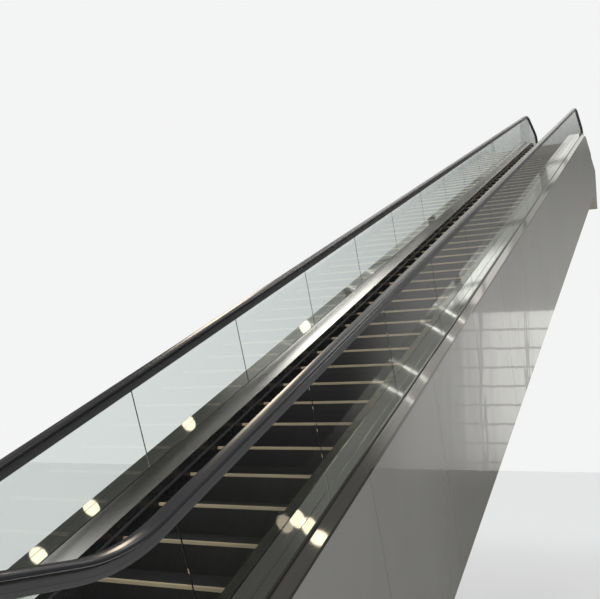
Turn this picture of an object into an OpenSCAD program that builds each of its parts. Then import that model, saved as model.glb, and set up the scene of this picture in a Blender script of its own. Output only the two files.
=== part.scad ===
// Escalator between two floors with frameless glass balustrades.
// X runs along the travel, from the lower landing to the upper one, Y runs across and Z is up.
// The origin is the middle of the underside of the lower support angle.

/* [Travel] */
// Height from the lower floor to the upper floor
rise = 9680; // [6000:20:12000]
// Angle of the incline
incline = 27.3; // [26:0.1:31]
// Radius of the lower transition of the steps
lower_radius = 1100; // [1000:50:1600]
// Radius of the upper transition of the steps
upper_radius = 1500; // [1000:50:2600]
// Level run from the lower comb to where floor and incline would meet
lower_level_run = 1491; // [1200:1:1700]
// Least level run from where incline and upper floor would meet to the upper comb
upper_level_run_least = 1150; // [1000:10:1500]

/* [Steps] */
// Width of a step
step_width = 1000; // [600:10:1000]
// Length of step chain from one step to the next
step_pitch = 403.8; // [380:0.1:420]
// Gap between two level steps
step_gap = 3.8; // [3:0.1:6]
// Depth of the riser below the tread
riser_depth = 205; // [195:1:225]
// Thickness of the tread at its rear edge
tread_thickness = 30; // [20:1:45]
// Length of the flat foot at the bottom of the riser
riser_foot = 30; // [15:1:45]
// Radius of the step rollers
roller_radius = 38; // [30:1:45]
// Width of a step roller
roller_width = 34; // [20:1:45]
// Roller centre behind the nosing
roller_back = 95; // [80:1:120]
// Roller centre below the tread
roller_down = 170; // [160:1:180]
// Depth of the yellow edging on the tread
edging_depth = 30; // [15:1:45]
// Height of the yellow edging on the riser
edging_height = 20; // [15:1:30]
// Depth of the grooves in the treads
groove_depth = 10; // [8:0.5:12]
// Distance from one groove to the next that is aimed at
groove_pitch_wanted = 9.1; // [8.5:0.1:10]
// Width of the ridges between the grooves
ridge_width = 3.6; // [2.5:0.1:4]

/* [Balustrade] */
// Height of the handrail above the nosing line and the floors
handrail_height = 900; // [850:5:1100]
// Distance from the middle of the stairway to the middle of each handrail, past the step's side
handrail_past_step = 128; // [120:1:140]
// Width of the handrail belt
belt_width = 80; // [70:1:90]
// Thickness of the handrail belt
belt_thickness = 28; // [24:1:32]
// Radius of the newel, from its centre to the top of the guide
newel_radius = 390; // [350:5:395]
// How far the newel guide reaches past the comb
newel_past_comb = 560; // [480:5:700]
// Thickness of the glass
glass_thickness = 12; // [8:1:14]
// Length of a glass panel along the incline
glass_pitch = 1500; // [1000:10:2000]
// Distance along the incline from the lower corner to the first glass joint
first_glass_joint = 780; // [650:10:1000]
// Gap between glass panels
glass_joint = 4; // [2:1:8]

/* [Decks and skirts] */
// Gap between a step and the skirt
skirt_gap = 3; // [2:0.5:4]
// Thickness of the skirt panel
skirt_thickness = 8; // [4:1:12]
// Height of the skirt above the nosing line
skirt_height = 100; // [60:1:120]
// Height of the decks at the glass, above the nosing line
deck_height = 165; // [150:1:180]
// Thickness of the deck sheets
deck_sheet = 7; // [4:1:10]
// Width of the inner strip of the outer deck
deck_inner_strip = 98; // [70:1:110]
// Width of the outer strip of the outer deck
deck_outer_strip = 60; // [50:1:80]
// Width of the groove between the strips
deck_groove = 3; // [2:1:5]
// Drop from the outer deck to the cladding cap
cap_drop = 37; // [25:1:50]
// Slope of the cladding cap, across
cap_width = 54; // [45:1:70]
// Slope of the cladding cap, down
cap_fall = 44; // [30:1:50]

/* [Enclosure] */
// Depth of the enclosure below the nosing line, square to the incline
enclosure_depth = 1710; // [1400:10:1900]
// Depth of the level enclosure below each floor
landing_depth = 1150; // [1000:10:1300]
// Length of each floor plate from the comb to the end of the truss
landing_length = 1500; // [1200:10:2000]
// Thickness of the side cladding
cladding_thickness = 12; // [8:1:20]
// Length of a cladding panel along the incline
cladding_pitch = 1620; // [1200:10:2400]
// Distance along the incline from the lower corner to the first cladding joint
first_cladding_joint = 810; // [400:10:1200]
// Gap between cladding panels
cladding_joint = 5; // [3:1:10]
// Radius of the downlights in the underside
light_radius = 95; // [60:5:140]

/* [Landings] */
// Thickness of the floor plates with their frames
floor_thickness = 60; // [40:1:80]
// Length of the comb plate, without its teeth
comb_length = 230; // [180:5:300]
// Thickness of the comb plate
comb_thickness = 18; // [12:1:25]
// Length of the comb teeth
tooth_length = 30; // [20:1:40]
// Width of a comb tooth
tooth_width = 2.8; // [2.5:0.1:3.4]
// Clearance between the comb teeth and the bottom of the grooves
tooth_clearance = 2; // [1:0.5:3]
// Gap between the body of each comb and the step in front of it
comb_gap = 3; // [2:0.5:6]
// Drop from the lower floor to the face that the support angle rests on
seat_drop = 160; // [140:5:220]
// Reach of the support angle past the end of the truss
support_reach = 150; // [120:5:200]
// Thickness of the support angle
support_thickness = 20; // [12:1:25]
// Length of the support angle across the truss
support_width = 1400; // [1000:10:1500]
// Radius of the holes for the levelling bolts
levelling_hole_radius = 13; // [9:0.5:16]
// Distance between the levelling bolts
levelling_spacing = 1200; // [800:10:1300]

/* [Hidden] */
$fn = 64;
// Clearance between pieces that lie against each other
seat = 0.3;
// Length by which a cutting shape passes the faces that it cuts
past = 1;
// Hairline between the stretches of a belt, which a core inside it joins into one piece
hairline = 0.2;
core_inset = 0.4;
// Gap between a straight and a bent length of a deck or skirt
deck_joint = 0.8;
arc_points = 8;
belt_facets = 6;

// Corner points where the level nosing lines and the incline would meet
lower_tangent = lower_radius * tan(incline / 2);
upper_tangent = upper_radius * tan(incline / 2);
incline_length = rise / sin(incline);
lower_arc_length = lower_radius * incline * PI / 180;
upper_arc_length = upper_radius * incline * PI / 180;
lower_level_steps = lower_level_run - lower_tangent;
straight_length = incline_length - lower_tangent - upper_tangent;
path_to_upper_level = lower_level_steps + lower_arc_length + straight_length + upper_arc_length;
// Each comb reaches over a step, and the row of steps ends with a tread and no gap
comb_reach = tooth_length - comb_gap;
path_beyond_combs = 2 * comb_reach + step_gap;
step_count = ceil((path_to_upper_level + upper_level_run_least - upper_tangent + path_beyond_combs)
                  / step_pitch);
upper_level_run = step_count * step_pitch - path_beyond_combs - path_to_upper_level + upper_tangent;

truss_start = support_reach / 2;
lower_comb_x = truss_start + landing_length;
lower_corner_x = lower_comb_x + lower_level_run;
upper_corner_x = lower_corner_x + rise / tan(incline);
upper_comb_x = upper_corner_x + upper_level_run;
truss_end = upper_comb_x + landing_length;
lower_z = seat_drop;
upper_z = lower_z + rise;

// Newels and the balustrade base, which starts behind the middle of each newel
newel_lower_x = lower_comb_x - newel_past_comb + newel_radius;
newel_upper_x = upper_comb_x + newel_past_comb - newel_radius;
base_ahead = 100;
base_start = newel_lower_x - base_ahead;
base_end = newel_upper_x + base_ahead;
cap_thickness = 20;
inlet_slack = 6;
inlet_run = 260;
inlet_tail = inlet_run - 2 * cap_thickness;

// Stations across, from the middle
skirt_y = step_width / 2 + skirt_gap;
skirt_back_y = skirt_y + skirt_thickness;
handrail_y = step_width / 2 + handrail_past_step;
glass_inner_y = handrail_y - glass_thickness / 2;
glass_outer_y = handrail_y + glass_thickness / 2;
deck_split_y = glass_outer_y + deck_inner_strip;
deck_edge_y = deck_split_y + deck_groove + deck_outer_strip;
outer_y = deck_edge_y + cap_width;
truss_y = outer_y - cladding_thickness;

// Heights square to the nosing line
deck_under = deck_height - deck_sheet;
cap_top = deck_height - cap_drop;
cap_low = cap_top - cap_fall;
cap_lip = 24;
cladding_top = cap_low - cap_lip;
truss_top = -floor_thickness;
skirt_low = -riser_depth;
shoe_half = 20;
shoe_floor = 130;
shoe_wall_top = deck_under - deck_sheet;
brush_low = 35;
brush_high = 50;
brush_reach = 18;
brush_slope = 6;

// Handrail guide: head, neck, bead, the clip over the glass and the gasket holder below it
belt_over_guide = 12;
guide_lift = handrail_height - belt_over_guide;
head_half = 28.4;
head_height = 8.6;
neck_half = 18.5;
bead_half = 22;
bead_top = -17;
bead_low = -24;
clip_half = 12;
clip_low = -54;
holder_half = 15;
holder_low = -76;
glass_top = -28.8;
belt_edge = belt_thickness / 2;
newel_lift = guide_lift - newel_radius;
glass_panels = floor((incline_length - 2 * first_glass_joint) / glass_pitch);
last_glass_joint = first_glass_joint + glass_panels * glass_pitch;

// Distance from each corner to the ends of the middle truss section
truss_split = 500;

// Tread grooves and the comb teeth that run in them
groove_count = round((step_width - ridge_width) / groove_pitch_wanted);
groove_pitch = (step_width - ridge_width) / groove_count;
tooth_low = tooth_clearance - groove_depth;
tooth_nose = 2;

// Step rollers and the tracks below them
roller_inset = 5;
track_thickness = 12;
track_inner_y = step_width / 2 - roller_inset - roller_width - track_thickness;

function reversed(points) = [for (i = [len(points) - 1:-1:0]) points[i]];

// Points of a line parallel to the nosing line, lifted straight up and then moved square to it
function path_points(lift, off, from_x, to_x) = concat(
    [[from_x, lower_z + lift + off]],
    [for (i = [0:arc_points]) lower_arc_point(incline * i / arc_points, lift, off)],
    [for (i = [0:arc_points]) upper_arc_point(incline * (1 - i / arc_points), lift, off)],
    [[to_x, upper_z + lift + off]]
);
function lower_arc_point(turn, lift, off) = [
    lower_corner_x - lower_tangent + (lower_radius - off) * sin(turn),
    lower_z + lift + lower_radius - (lower_radius - off) * cos(turn)
];
function upper_arc_point(turn, lift, off) = [
    upper_corner_x + upper_tangent - (upper_radius + off) * sin(turn),
    upper_z + lift - upper_radius + (upper_radius + off) * cos(turn)
];

// Place of a nosing at a distance along the step path from the lower comb
function nosing_at(s) =
    s <= lower_level_steps ? [lower_comb_x + s, lower_z] :
    s <= lower_level_steps + lower_arc_length ?
        lower_arc_point((s - lower_level_steps) / lower_radius * 180 / PI, 0, 0) :
    s <= path_to_upper_level - upper_arc_length ?
        lower_arc_point(incline, 0, 0)
            + (s - lower_level_steps - lower_arc_length) * [cos(incline), sin(incline)] :
    s <= path_to_upper_level ?
        upper_arc_point((path_to_upper_level - s) / upper_radius * 180 / PI, 0, 0) :
        [upper_corner_x + upper_tangent + s - path_to_upper_level, upper_z];

// Moves of a line from one level place to another: lines, and bends of [radius, angle]
function run_moves(from_x, to_x) = [
    ["line", lower_corner_x - lower_tangent - from_x],
    ["bend", lower_radius, incline],
    ["line", straight_length],
    ["bend", upper_radius, -incline],
    ["line", to_x - upper_corner_x - upper_tangent]
];
// Moves round both newels, each of which turns by less than half a turn or ends in a straight tail
function loop_moves(newel_turn, tail) = concat(
    tail > 0 ? [["line", tail]] : [],
    [["bend", newel_radius, -newel_turn]],
    run_moves(newel_lower_x, newel_upper_x),
    [["bend", newel_radius, -newel_turn]],
    tail > 0 ? [["line", tail]] : []
);

// Sweeps a profile, drawn as across and square to the path, along the moves; the straight
// stretches stop short of the bends by the gap, or run into them where it is negative
module sweep(moves, x, z, heading, gap, bends = true, i = 0) {
    if (i < len(moves)) {
        move = moves[i];
        turn = move[0] == "bend" ? move[2] : 0;
        if (move[0] == "line")
            straight_piece(x, z, heading, move[1], gap) children();
        else if (bends)
            bent_piece(x, z, heading, move[1], turn) children();
        side = sign(turn);
        next_x = move[0] == "line" ? x + move[1] * cos(heading)
            : x + side * move[1] * (sin(heading + turn) - sin(heading));
        next_z = move[0] == "line" ? z + move[1] * sin(heading)
            : z + side * move[1] * (cos(heading) - cos(heading + turn));
        sweep(moves, next_x, next_z, heading + turn, gap, bends, i + 1) children();
    }
}
module straight_piece(x, z, heading, length, gap) {
    translate([x + gap * cos(heading), 0, z + gap * sin(heading)])
        rotate([0, -heading, 0])
            rotate([90, 0, 90])
                linear_extrude(length - 2 * gap)
                    children();
}
module bent_piece(x, z, heading, radius, turn) {
    side = sign(turn);
    first = turn > 0 ? heading - 90 : heading + 90 + turn;
    translate([x - side * radius * sin(heading), 0, z + side * radius * cos(heading)])
        rotate([90, 0, 0])
            rotate(first)
                rotate_extrude(angle = abs(turn))
                    translate([radius, 0])
                        if (turn > 0) mirror([1, 1]) children();
                        else rotate(-90) children();
}
// Sweeps a profile between the two ends of the balustrade base, as straight and bent lengths
module sweep_base(from_x = base_start, to_x = base_end) {
    sweep(run_moves(from_x - deck_joint, to_x + deck_joint), from_x - deck_joint, lower_z, 0,
          deck_joint) children();
}
// Stands an outline drawn in X and Z upright, from one station across to another
module upright(from_y, to_y) {
    translate([0, to_y, 0])
        rotate([90, 0, 0])
            linear_extrude(to_y - from_y)
                children();
}
// Draws its children on the left, or on the right as their mirror image
module on_side(left) {
    if (left) children();
    else mirror([0, 1, 0]) children();
}
module band(y0, y1, v0, v1) {
    translate([y0, v0]) square([y1 - y0, v1 - v0]);
}

// Outline of the enclosure between its top line and the soffit, inset all round
soffit_low_corner_x = lower_corner_x
    + (enclosure_depth / cos(incline) - landing_depth) / tan(incline);
soffit_up_corner_x = upper_corner_x
    + (enclosure_depth / cos(incline) - landing_depth) / tan(incline);
module enclosure_outline(top, inset, end_top) {
    polygon(concat(
        [[truss_start + inset, lower_z + end_top], [base_start, lower_z + end_top]],
        path_points(0, top, base_start, base_end),
        [[base_end, upper_z + end_top], [truss_end - inset, upper_z + end_top],
         [truss_end - inset, upper_z - landing_depth + inset],
         [soffit_up_corner_x - inset * tan(incline / 2), upper_z - landing_depth + inset],
         [soffit_low_corner_x - inset * tan(incline / 2), lower_z - landing_depth + inset],
         [truss_start + inset, lower_z - landing_depth + inset]]
    ));
}
// Strip square to the incline, between two distances from the lower corner
module incline_strip(from_s, to_s) {
    reach = 2 * enclosure_depth + handrail_height;
    translate([lower_corner_x, lower_z])
        rotate(incline)
            translate([from_s, -reach])
                square([to_s - from_s, 2 * reach]);
}

// Truss and tracks: each section has two side frames and the pan between them
module truss_section(from_s, to_s) {
    pan_top = -roller_down - roller_radius - track_thickness - riser_depth;
    color("dimgray") {
        for (left = [true, false])
            on_side(left)
                upright(skirt_back_y + seat, truss_y - seat)
                    intersection() {
                        enclosure_outline(truss_top, cladding_thickness, truss_top);
                        incline_strip(from_s, to_s);
                    }
        upright(-skirt_back_y, skirt_back_y)
            intersection() {
                enclosure_outline(pan_top, cladding_thickness, pan_top);
                incline_strip(from_s, to_s);
            }
    }
}
module track(left) {
    start_x = lower_comb_x - comb_reach - roller_radius;
    color("slategray")
        on_side(left)
            translate([roller_back, 0, -roller_down])
                sweep(run_moves(start_x, upper_comb_x), start_x, lower_z, 0, deck_joint)
                    band(track_inner_y, skirt_back_y,
                         -roller_radius - seat - track_thickness, -roller_radius - seat);
}

// Steps
module step_outline() {
    riser_end = step_pitch - sqrt(step_pitch * step_pitch - riser_depth * riser_depth);
    riser_turn = asin(riser_depth / step_pitch);
    polygon(concat(
        [for (i = [0:arc_points]) [
            step_pitch - step_pitch * cos(riser_turn * i / arc_points),
            -step_pitch * sin(riser_turn * i / arc_points)
        ]],
        [[riser_end + riser_foot, -riser_depth],
         [step_pitch - step_gap, -tread_thickness],
         [step_pitch - step_gap, 0]]
    ));
}
module edging_box() {
    translate([-past, -edging_height]) square([edging_depth + past, edging_height + past]);
}
// Middle of a ridge, counted from the right side of the step
function ridge_middle(i) = -step_width / 2 + ridge_width / 2 + i * groove_pitch;
module ridged_block() {
    side = step_width / 2 + past;
    low = -riser_depth - past;
    translate([-past, 0, 0])
        rotate([90, 0, 90])
            linear_extrude(step_pitch + 2 * past)
                polygon(concat(
                    [[-side, low], [-side, past]],
                    [for (i = [0:groove_count - 1])
                        let (from_y = ridge_middle(i) + ridge_width / 2,
                             to_y = ridge_middle(i + 1) - ridge_width / 2)
                        each [[from_y, past], [from_y, -groove_depth],
                              [to_y, -groove_depth], [to_y, past]]],
                    [[side, past], [side, low]]
                ));
}
// Stands an outline across a step; the steps beside the combs get the grooves of their treads
module across_step(i) {
    if (i < grooved_steps || i >= step_count - grooved_steps)
        intersection() {
            upright(-step_width / 2, step_width / 2) children();
            ridged_block();
        }
    else
        upright(-step_width / 2, step_width / 2) children();
}
module step(i) {
    across_step(i)
        difference() {
            step_outline();
            edging_box();
        }
    for (left = [true, false])
        on_side(left)
            upright(step_width / 2 - roller_inset - roller_width, step_width / 2 - roller_inset)
                translate([roller_back, -roller_down]) circle(roller_radius);
}
module at_step(i) {
    place = nosing_at(i * step_pitch - comb_reach);
    translate([place[0], 0, place[1]]) children();
}
module steps(first, last) {
    color("dimgray")
        for (i = [first:last])
            at_step(i) step(i);
}
module step_edging() {
    color("goldenrod")
        for (i = [0:step_count - 1])
            at_step(i)
                across_step(i)
                    intersection() {
                        step_outline();
                        edging_box();
                    }
}
grooved_steps = 2;
level_steps = 5;
steps_per_group = ceil((step_count - 2 * level_steps) / 3);
second_end = level_steps + steps_per_group;
middle_end = second_end + steps_per_group;
fourth_end = step_count - level_steps;

// Landings
module floor_plate_outline() {
    ledge = comb_thickness + seat;
    polygon([
        [0, 0], [landing_length - comb_length - seat, 0],
        [landing_length - comb_length - seat, -ledge], [landing_length - tooth_length, -ledge],
        [landing_length - tooth_length, -floor_thickness + seat], [0, -floor_thickness + seat]
    ]);
}
module floor_plate() {
    upright(-skirt_y + seat, skirt_y - seat) floor_plate_outline();
    wing = base_start - cap_thickness - seat - truss_start;
    for (left = [true, false])
        on_side(left)
            upright(0, truss_y)
                translate([0, -floor_thickness + seat])
                    square([wing, floor_thickness - seat]);
}
// Comb plate: its side view and its plan with the teeth, which run in the grooves of the treads
module comb() {
    back = landing_length - comb_length;
    front = landing_length - tooth_length;
    side = skirt_y - seat;
    intersection() {
        upright(-side - past, side + past)
            polygon([
                [back, 0], [back, -comb_thickness], [front, -comb_thickness], [front, tooth_low],
                [landing_length - tooth_nose, tooth_low], [landing_length, tooth_low + tooth_nose],
                [front, 0]
            ]);
        translate([0, 0, -comb_thickness - past])
            linear_extrude(comb_thickness + 2 * past)
                polygon(concat(
                    [[back - past, -side], [front, -side]],
                    [for (i = [0:groove_count - 1])
                        let (middle = ridge_middle(i) + groove_pitch / 2,
                             from_y = middle - tooth_width / 2,
                             to_y = middle + tooth_width / 2)
                        each [[front, from_y], [landing_length + past, from_y],
                              [landing_length + past, to_y], [front, to_y]]],
                    [[front, side], [back - past, side]]
                ));
    }
}
module at_lower_end() {
    translate([truss_start, 0, lower_z]) children();
}
module at_upper_end() {
    translate([truss_end, 0, upper_z]) mirror([1, 0, 0]) children();
}
module support_angle() {
    leg_height = seat_drop - floor_thickness - seat;
    difference() {
        union() {
            translate([-support_reach, -support_width / 2, -seat_drop])
                cube([support_reach, support_width, support_thickness]);
            translate([-support_thickness, -support_width / 2, -seat_drop])
                cube([support_thickness, support_width, leg_height]);
        }
        for (side = [-1, 1])
            translate([-support_reach / 2, side * levelling_spacing / 2, -seat_drop - past])
                cylinder(h = support_thickness + 2 * past, r = levelling_hole_radius);
    }
}
module end_panel() {
    low = -landing_depth + cladding_thickness + seat;
    color("silver")
        translate([0, -truss_y + seat, low])
            cube([cladding_thickness - seat, 2 * (truss_y - seat), -floor_thickness - low]);
}

// Skirts, decks and caps
module skirt(left) {
    color("black")
        on_side(left)
            sweep_base() band(skirt_y, skirt_back_y, skirt_low, skirt_height);
}
module skirt_brush(left) {
    color("darkgray")
        on_side(left)
            sweep_base(lower_comb_x, upper_comb_x)
                polygon([
                    [skirt_y, brush_low], [skirt_y, brush_high],
                    [skirt_y - brush_reach, brush_low + brush_slope],
                    [skirt_y - brush_reach, brush_low]
                ]);
}
module inner_deck(left) {
    color("silver")
        on_side(left)
            sweep_base()
                polygon([
                    [skirt_y, skirt_height + seat],
                    [skirt_y, skirt_height + deck_sheet],
                    [glass_inner_y - past, deck_height],
                    [glass_inner_y - past, deck_under],
                    [skirt_back_y, skirt_height + seat]
                ]);
}
module outer_deck(left) {
    color("silver")
        on_side(left)
            sweep_base()
                difference() {
                    union() {
                        band(glass_outer_y + past, deck_edge_y, deck_under, deck_height);
                        band(deck_edge_y - deck_sheet, deck_edge_y, cap_top + seat, deck_height);
                    }
                    band(deck_split_y, deck_split_y + deck_groove,
                         deck_height - deck_groove, deck_height + past);
                }
}
module cladding_cap(left) {
    inner = deck_edge_y - 2 * deck_sheet;
    color("silver")
        on_side(left)
            sweep_base()
                polygon([
                    [inner, cap_top], [deck_edge_y, cap_top], [outer_y, cap_low],
                    [outer_y, cladding_top + seat], [outer_y - cladding_thickness, cladding_top + seat],
                    [outer_y - cladding_thickness, cap_low], [deck_edge_y - deck_sheet, cap_top - deck_sheet],
                    [inner, cap_top - deck_sheet]
                ]);
}
module glass_shoe(left) {
    color("darkslategray")
        on_side(left)
            sweep_base(newel_lower_x + inlet_run, newel_upper_x - inlet_run)
                difference() {
                    union() {
                        band(handrail_y - shoe_half, handrail_y, truss_top + seat, shoe_wall_top);
                        band(handrail_y, handrail_y + shoe_half, truss_top + seat, deck_under - seat);
                    }
                    band(glass_inner_y - seat, glass_outer_y + seat, shoe_floor, deck_height);
                }
}

// Glass, guides and belts
module glass_outline() {
    newel_glass = newel_radius + glass_top;
    difference() {
        union() {
            polygon(concat(
                path_points(0, shoe_floor + seat, newel_lower_x, newel_upper_x),
                reversed(path_points(guide_lift, glass_top, newel_lower_x, newel_upper_x))
            ));
            translate([newel_lower_x, lower_z + newel_lift]) circle(newel_glass);
            translate([newel_upper_x, upper_z + newel_lift]) circle(newel_glass);
        }
        translate([newel_lower_x - newel_radius, lower_z - handrail_height])
            square([2 * newel_radius, handrail_height + shoe_floor + seat]);
        translate([newel_upper_x - newel_radius, upper_z - handrail_height])
            square([2 * newel_radius, handrail_height + shoe_floor + seat]);
    }
}
module glass(left) {
    color("lightcyan", 0.35)
        on_side(left)
            upright(glass_inner_y, glass_outer_y) {
                intersection() {
                    glass_outline();
                    incline_strip(-2 * landing_length, first_glass_joint - glass_joint / 2);
                }
                for (i = [0:glass_panels - 1])
                    intersection() {
                        glass_outline();
                        incline_strip(first_glass_joint + i * glass_pitch + glass_joint / 2,
                                      first_glass_joint + (i + 1) * glass_pitch - glass_joint / 2);
                    }
                intersection() {
                    glass_outline();
                    incline_strip(last_glass_joint + glass_joint / 2, incline_length + 2 * landing_length);
                }
            }
}
module belt_profile(inset) {
    middle = belt_over_guide - belt_edge;
    inner_half = head_half + 2 * seat + inset;
    lip_half = neck_half + 2 * seat + inset;
    lip_top = -head_height - seat - inset;
    lip_low = middle - belt_edge + inset;
    edge_points = [for (i = [0:belt_facets]) let (turn = 180 * i / belt_facets - 90) [
        belt_width / 2 - belt_edge + (belt_edge - inset) * cos(turn),
        middle + (belt_edge - inset) * sin(turn)
    ]];
    polygon(concat(
        [[lip_half, lip_top], [lip_half, lip_low]],
        edge_points,
        reversed([for (p = edge_points) [-p[0], p[1]]]),
        [[-lip_half, lip_low], [-lip_half, lip_top], [-inner_half, lip_top],
         [-inner_half, seat + inset], [inner_half, seat + inset], [inner_half, lip_top]]
    ));
}
module guide_profile() {
    difference() {
        union() {
            band(-head_half, head_half, -head_height, 0);
            band(-neck_half, neck_half, bead_low, 0);
            band(-bead_half, bead_half, bead_low, bead_top);
            band(-clip_half, clip_half, clip_low, bead_low);
            band(-holder_half, holder_half, holder_low, clip_low);
        }
        band(-glass_thickness / 2 - seat, glass_thickness / 2 + seat, holder_low - past, glass_top + seat);
    }
}
module handrail(left) {
    moves = loop_moves(180, inlet_tail);
    start_x = newel_lower_x + inlet_tail;
    start_z = lower_z + newel_lift - newel_radius;
    color("black")
        on_side(left)
            translate([0, handrail_y, 0]) {
                sweep(moves, start_x, start_z, 180, hairline) belt_profile(0);
                sweep(moves, start_x, start_z, 180, -hairline - seat, false) belt_profile(core_inset);
            }
}
// The guides stop short of the inlets below the newels
module guide(left) {
    short_turn = asin((base_ahead + cap_thickness + inlet_slack) / newel_radius);
    color("gray")
        on_side(left)
            sweep(loop_moves(180 - short_turn, 0), newel_lower_x - newel_radius * sin(short_turn),
                  lower_z + newel_lift - newel_radius * cos(short_turn), 180 - short_turn, deck_joint)
                translate([handrail_y, 0]) guide_profile();
}

// Enclosure
cladding_panels = floor((incline_length - 2 * first_cladding_joint) / cladding_pitch);
last_cladding_joint = first_cladding_joint + cladding_panels * cladding_pitch;
module cladding(left) {
    color("gainsboro")
        on_side(left)
            upright(truss_y, outer_y)
                panels() enclosure_outline(cladding_top, 0, 0);
}
module panels() {
    intersection() {
        children();
        incline_strip(-2 * landing_length - enclosure_depth, first_cladding_joint - cladding_joint / 2);
    }
    for (i = [0:cladding_panels - 1])
        intersection() {
            children();
            incline_strip(first_cladding_joint + i * cladding_pitch + cladding_joint / 2,
                          first_cladding_joint + (i + 1) * cladding_pitch - cladding_joint / 2);
        }
    intersection() {
        children();
        incline_strip(last_cladding_joint + cladding_joint / 2,
                      incline_length + 2 * landing_length + enclosure_depth);
    }
}
module soffit_outline() {
    wall = landing_depth - cladding_thickness;
    difference() {
        enclosure_outline(truss_top, 0, truss_top);
        enclosure_outline(truss_top + past, cladding_thickness - seat, truss_top + past);
        translate([truss_start - past, lower_z - wall])
            square([cladding_thickness + 2 * past, wall]);
        translate([truss_end - cladding_thickness - past, upper_z - wall])
            square([cladding_thickness + 2 * past, wall]);
    }
}
module at_lights() {
    for (i = [1:2:cladding_panels - 1])
        translate([lower_corner_x, 0, lower_z])
            rotate([0, -incline, 0])
                translate([first_cladding_joint + (i + 0.5) * cladding_pitch, 0, -enclosure_depth])
                    children();
}
module soffit_panels() {
    color("tan")
        difference() {
            upright(-truss_y + seat, truss_y - seat)
                panels() soffit_outline();
            at_lights()
                translate([0, 0, -past])
                    cylinder(h = cladding_thickness + 2 * past, r = light_radius);
        }
}
module downlights() {
    recess = 4;
    color("ivory")
        at_lights()
            translate([0, 0, recess])
                cylinder(h = cladding_thickness - recess - seat, r = light_radius - 2 * seat);
}

// End of the balustrade base below a newel, with the inlet of the belt and a slot for the glass
module newel_cap() {
    belt_outer = newel_radius + belt_over_guide;
    belt_inner = belt_outer - belt_thickness;
    front = base_ahead + cap_thickness;
    inlet_low = newel_lift - sqrt(belt_outer * belt_outer - base_ahead * base_ahead) - inlet_slack;
    inlet_high = newel_lift - sqrt(belt_inner * belt_inner - front * front) + inlet_slack;
    inlet_half = belt_width / 2 + inlet_slack;
    color("black")
        translate([base_start - cap_thickness, 0, lower_z])
            rotate([90, 0, 90])
                linear_extrude(cap_thickness - seat)
                    difference() {
                        polygon([
                            [skirt_y, truss_top + seat], [truss_y - seat, truss_top + seat],
                            [truss_y - seat, seat], [outer_y, seat], [outer_y, cap_low],
                            [deck_edge_y, deck_height], [glass_inner_y, deck_height],
                            [skirt_y, skirt_height + deck_sheet]
                        ]);
                        band(handrail_y - inlet_half, handrail_y + inlet_half, inlet_low, inlet_high);
                        band(handrail_y - inlet_half, glass_outer_y + past, inlet_high - past,
                             deck_height + past);
                    }
}
module newel_caps_lower() {
    for (left = [true, false])
        on_side(left) newel_cap();
}
module newel_caps_upper() {
    translate([truss_end + truss_start, 0, rise]) mirror([1, 0, 0]) newel_caps_lower();
}

truss_section(-2 * enclosure_depth, truss_split);  // truss_lower
truss_section(truss_split, incline_length - truss_split);  // truss_incline
truss_section(incline_length - truss_split, incline_length + 2 * enclosure_depth + landing_length);  // truss_upper
track(true);  // track_left
track(false);  // track_right
color("dimgray") at_lower_end() support_angle();  // lower_support
color("dimgray") at_upper_end() support_angle();  // upper_support
color("silver") at_lower_end() floor_plate();  // lower_floor_plate
color("silver") at_upper_end() floor_plate();  // upper_floor_plate
color("silver") at_lower_end() comb();  // lower_comb
color("silver") at_upper_end() comb();  // upper_comb
steps(0, level_steps - 1);  // steps_lower
steps(level_steps, second_end - 1);  // steps_second
steps(second_end, middle_end - 1);  // steps_middle
steps(middle_end, fourth_end - 1);  // steps_fourth
steps(fourth_end, step_count - 1);  // steps_upper
step_edging();
skirt(true);  // skirt_left
skirt(false);  // skirt_right
skirt_brush(true);  // skirt_brush_left
skirt_brush(false);  // skirt_brush_right
inner_deck(true);  // inner_deck_left
inner_deck(false);  // inner_deck_right
outer_deck(true);  // outer_deck_left
outer_deck(false);  // outer_deck_right
glass_shoe(true);  // glass_shoe_left
glass_shoe(false);  // glass_shoe_right
glass(true);  // glass_left
glass(false);  // glass_right
guide(true);  // handrail_guide_left
guide(false);  // handrail_guide_right
handrail(true);  // handrail_left
handrail(false);  // handrail_right
cladding_cap(true);  // cladding_cap_left
cladding_cap(false);  // cladding_cap_right
cladding(true);  // cladding_left
cladding(false);  // cladding_right
soffit_panels();
downlights();
newel_caps_lower();
newel_caps_upper();
at_lower_end() end_panel();  // lower_end_panel
at_upper_end() end_panel();  // upper_end_panel
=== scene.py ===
import bpy
import math
from mathutils import Matrix, Vector


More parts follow.
